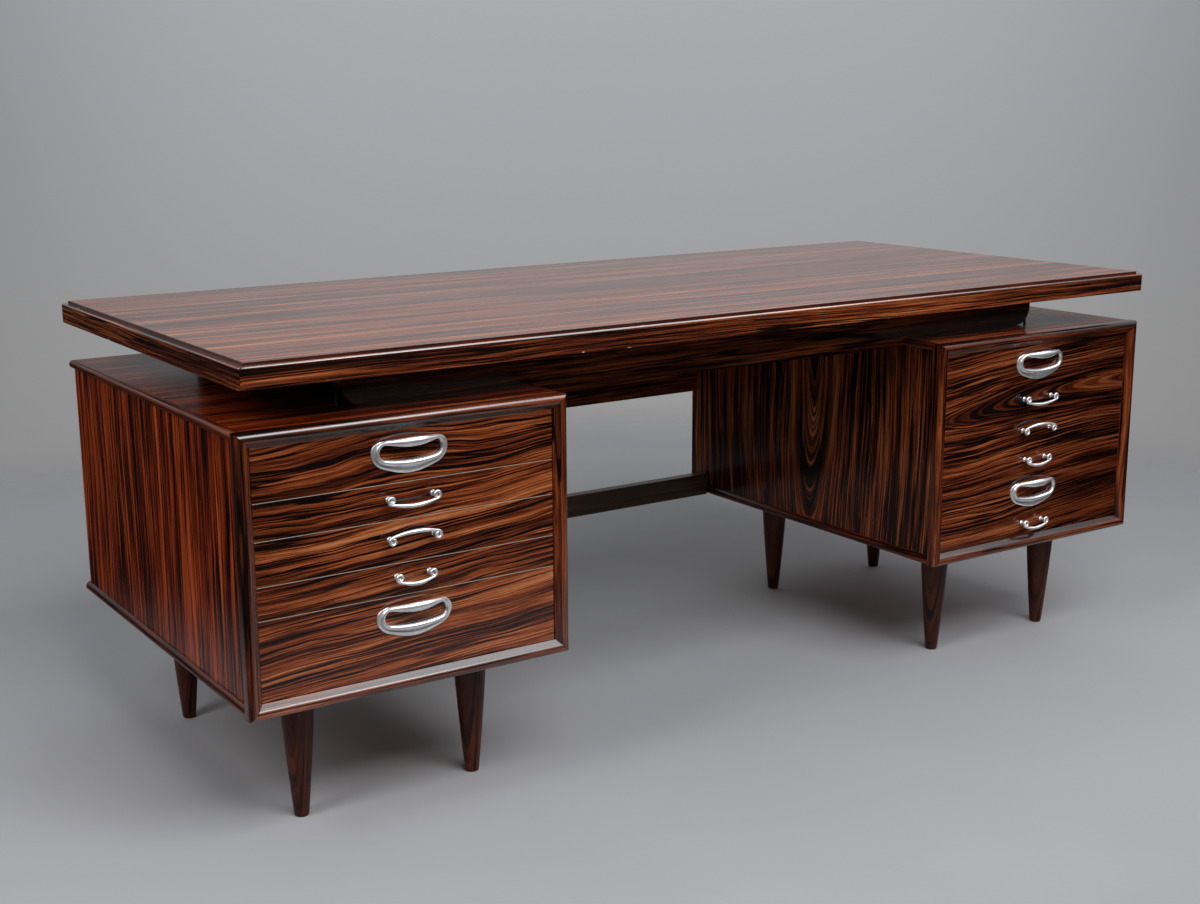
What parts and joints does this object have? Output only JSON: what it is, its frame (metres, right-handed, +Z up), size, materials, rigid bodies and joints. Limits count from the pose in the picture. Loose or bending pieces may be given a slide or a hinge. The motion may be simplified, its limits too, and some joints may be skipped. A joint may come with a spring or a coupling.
{
  "type": "double pedestal desk",
  "caption": "Double pedestal desk: veneered top floating on beams above two drawer cases with moulded frames, cast pulls and turned tapered legs.",
  "frame": {"origin": "on the floor, under the middle of the desktop", "axes": "+X along the desk to the sitter's right as seen from the drawer side, +Y from the drawer fronts to the back, +Z up"},
  "size_m": [1.93, 0.84, 0.75],
  "materials": {
    "desktop_veneer": "gloss lacquer",
    "solid_rosewood": "gloss lacquer",
    "beam_wood": "satin lacquer",
    "case_veneer": "gloss lacquer",
    "drawer_veneer": "gloss lacquer",
    "drawer_wood": "bare, waxed",
    "leg_wood": "satin lacquer",
    "pull_metal": "polished",
    "screw_steel": "plain"
  },
  "bodies": {
    "desk": {"desktop_panel": "desktop_veneer", "desktop_lipping": "solid_rosewood", "front_beam": "beam_wood", "rear_beam": "beam_wood", "left_cross_rail": "beam_wood", "right_cross_rail": "beam_wood", "top_screws": "screw_steel", "beam_screws": "screw_steel", "modesty_board": "case_veneer", "stretcher": "solid_rosewood", "left_case_top": "case_veneer", "right_case_top": "case_veneer", "left_case_bottom": "case_veneer", "right_case_bottom": "case_veneer", "left_outer_side": "case_veneer", "right_outer_side": "case_veneer", "left_inner_side": "case_veneer", "right_inner_side": "case_veneer", "left_case_back": "case_veneer", "right_case_back": "case_veneer", "left_face_frame": "solid_rosewood", "right_face_frame": "solid_rosewood", "left_legs": "leg_wood", "right_legs": "leg_wood", "leg_bolts": "screw_steel", "left_runners": "drawer_wood", "right_runners": "drawer_wood"},
    "left_drawer_1": {"left_drawer_1_front": "drawer_veneer", "left_drawer_1_box": "drawer_wood", "left_drawer_1_pull": "pull_metal"},
    "left_drawer_2": {"left_drawer_2_front": "drawer_veneer", "left_drawer_2_box": "drawer_wood", "left_drawer_2_pull": "pull_metal"},
    "left_drawer_3": {"left_drawer_3_front": "drawer_veneer", "left_drawer_3_box": "drawer_wood", "left_drawer_3_pull": "pull_metal"},
    "left_drawer_4": {"left_drawer_4_front": "drawer_veneer", "left_drawer_4_box": "drawer_wood", "left_drawer_4_pull": "pull_metal"},
    "left_drawer_5": {"left_drawer_5_front": "drawer_veneer", "left_drawer_5_box": "drawer_wood", "left_drawer_5_pull": "pull_metal"},
    "right_drawer_1": {"right_drawer_1_front": "drawer_veneer", "right_drawer_1_box": "drawer_wood", "right_drawer_1_pull": "pull_metal"},
    "right_drawer_2": {"right_drawer_2_front": "drawer_veneer", "right_drawer_2_box": "drawer_wood", "right_drawer_2_pull": "pull_metal"},
    "right_drawer_3": {"right_drawer_3_front": "drawer_veneer", "right_drawer_3_box": "drawer_wood", "right_drawer_3_pull": "pull_metal"},
    "right_drawer_4": {"right_drawer_4_front": "drawer_veneer", "right_drawer_4_box": "drawer_wood", "right_drawer_4_pull": "pull_metal"},
    "right_drawer_5": {"right_drawer_5_front": "drawer_veneer", "right_drawer_5_box": "drawer_wood", "right_drawer_5_pull": "pull_metal"},
    "right_drawer_6": {"right_drawer_6_front": "drawer_veneer", "right_drawer_6_box": "drawer_wood", "right_drawer_6_pull": "pull_metal"}
  },
  "joints": [
    {"name": "left_drawer_1_slide", "type": "slide", "parent": "desk", "child": "left_drawer_1", "axis": [0, -1, 0], "range_m": [0, 0.45]},
    {"name": "left_drawer_2_slide", "type": "slide", "parent": "desk", "child": "left_drawer_2", "axis": [0, -1, 0], "range_m": [0, 0.45]},
    {"name": "left_drawer_3_slide", "type": "slide", "parent": "desk", "child": "left_drawer_3", "axis": [0, -1, 0], "range_m": [0, 0.45]},
    {"name": "left_drawer_4_slide", "type": "slide", "parent": "desk", "child": "left_drawer_4", "axis": [0, -1, 0], "range_m": [0, 0.45]},
    {"name": "left_drawer_5_slide", "type": "slide", "parent": "desk", "child": "left_drawer_5", "axis": [0, -1, 0], "range_m": [0, 0.45]},
    {"name": "right_drawer_1_slide", "type": "slide", "parent": "desk", "child": "right_drawer_1", "axis": [0, -1, 0], "range_m": [0, 0.45]},
    {"name": "right_drawer_2_slide", "type": "slide", "parent": "desk", "child": "right_drawer_2", "axis": [0, -1, 0], "range_m": [0, 0.45]},
    {"name": "right_drawer_3_slide", "type": "slide", "parent": "desk", "child": "right_drawer_3", "axis": [0, -1, 0], "range_m": [0, 0.45]},
    {"name": "right_drawer_4_slide", "type": "slide", "parent": "desk", "child": "right_drawer_4", "axis": [0, -1, 0], "range_m": [0, 0.45]},
    {"name": "right_drawer_5_slide", "type": "slide", "parent": "desk", "child": "right_drawer_5", "axis": [0, -1, 0], "range_m": [0, 0.45]},
    {"name": "right_drawer_6_slide", "type": "slide", "parent": "desk", "child": "right_drawer_6", "axis": [0, -1, 0], "range_m": [0, 0.45]}
  ]
}
